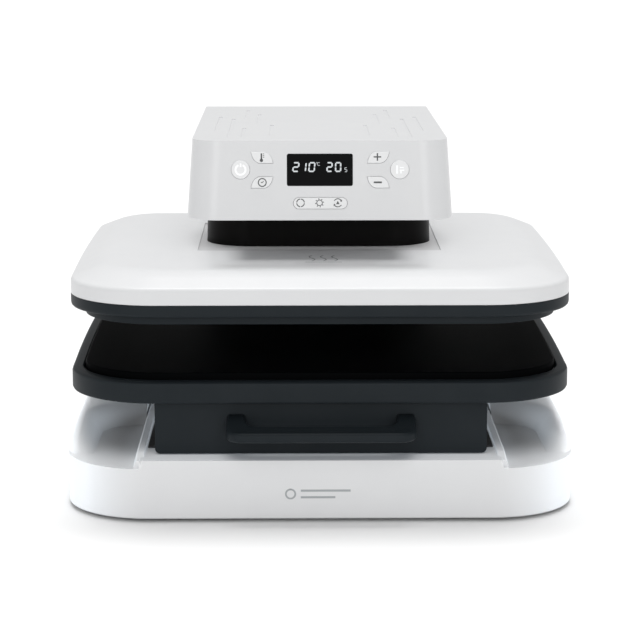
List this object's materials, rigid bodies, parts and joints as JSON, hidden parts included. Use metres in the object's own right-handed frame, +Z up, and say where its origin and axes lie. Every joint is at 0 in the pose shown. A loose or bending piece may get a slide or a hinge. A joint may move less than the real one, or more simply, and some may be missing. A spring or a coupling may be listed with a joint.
{
  "type": "heat press",
  "caption": "Desktop heat press with a pull-out drawer tray, a motor-driven heated upper platen and a tilted control head.",
  "frame": {"origin": "centre of the overall footprint on the table, drawer shut", "axes": "+Z up, front with the drawer handle faces -Y, +X to the right seen from the front"},
  "size_m": [0.443, 0.492, 0.3172],
  "materials": {
    "white_shell": "satin moulded ABS",
    "white_gloss": "high-gloss moulded ABS",
    "charcoal_plastic": "fine-textured heat-resistant nylon",
    "neck_plastic": "smooth satin",
    "black_plastic": "moulded",
    "rocker_plastic": "moulded",
    "button_white": "satin caps",
    "display_lens": "smoked window",
    "display_glow": "display unit behind the window",
    "foot_rubber": "soft",
    "pad_silicone": "smooth silicone skin on foam",
    "plate_aluminium": "machined and coated",
    "painted_steel": "black powder coat",
    "zinc_steel": "zinc plated",
    "screw_steel": "zinc plated",
    "bearing_steel": "ground",
    "polished_steel": "ground",
    "element_steel": "heat-darkened sheath",
    "sensor_metal": "plated",
    "motor_can": "drawn can",
    "bronze": "machined",
    "gear_nylon": "moulded",
    "circuit_board": "solder mask",
    "insulation": "pressed ceramic fibre board"
  },
  "bodies": {
    "base": {"base_shell": "white_shell", "base_bottom_plate": "zinc_steel", "rubber_feet": "foot_rubber", "base_screws": "screw_steel", "base_frame": "painted_steel", "column_beam": "painted_steel", "arm_frame": "painted_steel", "slide_brackets": "painted_steel", "slide_outer_members": "zinc_steel", "column_cover": "white_shell", "rear_cover": "white_shell", "rear_screws": "screw_steel", "power_inlet": "black_plastic", "rocker_bezel": "black_plastic", "head_shell": "white_shell", "head_bottom_cover": "white_shell", "display_lens": "display_lens", "display_module": "display_glow", "control_board": "circuit_board", "tact_switches": "black_plastic", "gearmotor": "motor_can", "motor_bracket": "zinc_steel", "screw_bearing": "bearing_steel", "guide_rods": "polished_steel", "limit_switches": "black_plastic", "power_board": "circuit_board"},
    "drawer": {"drawer_front": "charcoal_plastic", "handle": "charcoal_plastic", "handle_screws": "screw_steel", "drawer_chassis": "painted_steel", "tray": "charcoal_plastic", "lower_plate": "plate_aluminium", "silicone_pad": "pad_silicone", "slide_inner_members": "zinc_steel"},
    "slide_middle": {"slide_middle_members": "zinc_steel"},
    "platen": {"heat_plate": "plate_aluminium", "heating_element": "element_steel", "heat_guard": "charcoal_plastic", "platen_rim": "charcoal_plastic", "platen_cover": "white_gloss", "insulation_board": "insulation", "carrier_plate": "zinc_steel", "neck_sleeve": "neck_plastic", "lift_bridge": "painted_steel", "lead_nut": "bronze", "guide_bushes": "bronze", "temperature_sensor": "sensor_metal", "thermal_cutoff": "sensor_metal"},
    "lead_screw": {"lead_screw": "polished_steel", "screw_gear": "gear_nylon"},
    "motor_pinion": {"motor_pinion": "polished_steel"},
    "power_rocker": {"power_rocker": "rocker_plastic"},
    "power_button": {"power_button": "button_white"},
    "start_button": {"start_button": "button_white"},
    "temperature_button": {"temperature_button": "button_white"},
    "timer_button": {"timer_button": "button_white"},
    "plus_button": {"plus_button": "button_white"},
    "minus_button": {"minus_button": "button_white"},
    "mode_button": {"mode_button": "button_white"}
  },
  "joints": [
    {"name": "drawer_slide", "type": "slide", "parent": "base", "child": "drawer", "axis": [0, -1, 0], "range_m": [0, 0.32]},
    {"name": "slide_middle_slide", "type": "slide", "parent": "base", "child": "slide_middle", "axis": [0, -1, 0], "range_m": [0, 0.16]},
    {"name": "platen_slide", "type": "slide", "parent": "base", "child": "platen", "axis": [0, 0, -1], "range_m": [0, 0.0398]},
    {"name": "lead_screw_spin", "type": "hinge", "parent": "base", "child": "lead_screw", "pos_m": [0, 0.017, 0.26], "axis": [0, 0, 1], "range_deg": [0, 1792]},
    {"name": "motor_pinion_spin", "type": "hinge", "parent": "base", "child": "motor_pinion", "pos_m": [0, 0.0575, 0.29], "axis": [0, 0, 1], "range_deg": [-7882.4, 0]},
    {"name": "power_rocker_tilt", "type": "hinge", "parent": "base", "child": "power_rocker", "pos_m": [-0.098, 0.239, 0.028], "axis": [0, 0, 1], "range_deg": [0, 16]},
    {"name": "power_button_press", "type": "slide", "parent": "base", "child": "power_button", "axis": [0, 0.9844, -0.1758], "range_m": [0, 0.0008], "stiffness_N_per_m": 700, "springref_m": -0.0006},
    {"name": "start_button_press", "type": "slide", "parent": "base", "child": "start_button", "axis": [0, 0.9844, -0.1758], "range_m": [0, 0.0008], "stiffness_N_per_m": 700, "springref_m": -0.0006},
    {"name": "temperature_button_press", "type": "slide", "parent": "base", "child": "temperature_button", "axis": [0, 0.9844, -0.1758], "range_m": [0, 0.0008], "stiffness_N_per_m": 700, "springref_m": -0.0006},
    {"name": "timer_button_press", "type": "slide", "parent": "base", "child": "timer_button", "axis": [0, 0.9844, -0.1758], "range_m": [0, 0.0008], "stiffness_N_per_m": 700, "springref_m": -0.0006},
    {"name": "plus_button_press", "type": "slide", "parent": "base", "child": "plus_button", "axis": [0, 0.9844, -0.1758], "range_m": [0, 0.0008], "stiffness_N_per_m": 700, "springref_m": -0.0006},
    {"name": "minus_button_press", "type": "slide", "parent": "base", "child": "minus_button", "axis": [0, 0.9844, -0.1758], "range_m": [0, 0.0008], "stiffness_N_per_m": 700, "springref_m": -0.0006},
    {"name": "mode_button_press", "type": "slide", "parent": "base", "child": "mode_button", "axis": [0, 0.9844, -0.1758], "range_m": [0, 0.0008], "stiffness_N_per_m": 700, "springref_m": -0.0006}
  ],
  "couplings": [
    {"joint": "slide_middle_slide", "follows": "drawer_slide", "ratio": 0.5},
    {"joint": "lead_screw_spin", "follows": "platen_slide", "rad_per_m": 785.4},
    {"joint": "motor_pinion_spin", "follows": "platen_slide", "rad_per_m": -3455.8}
  ]
}
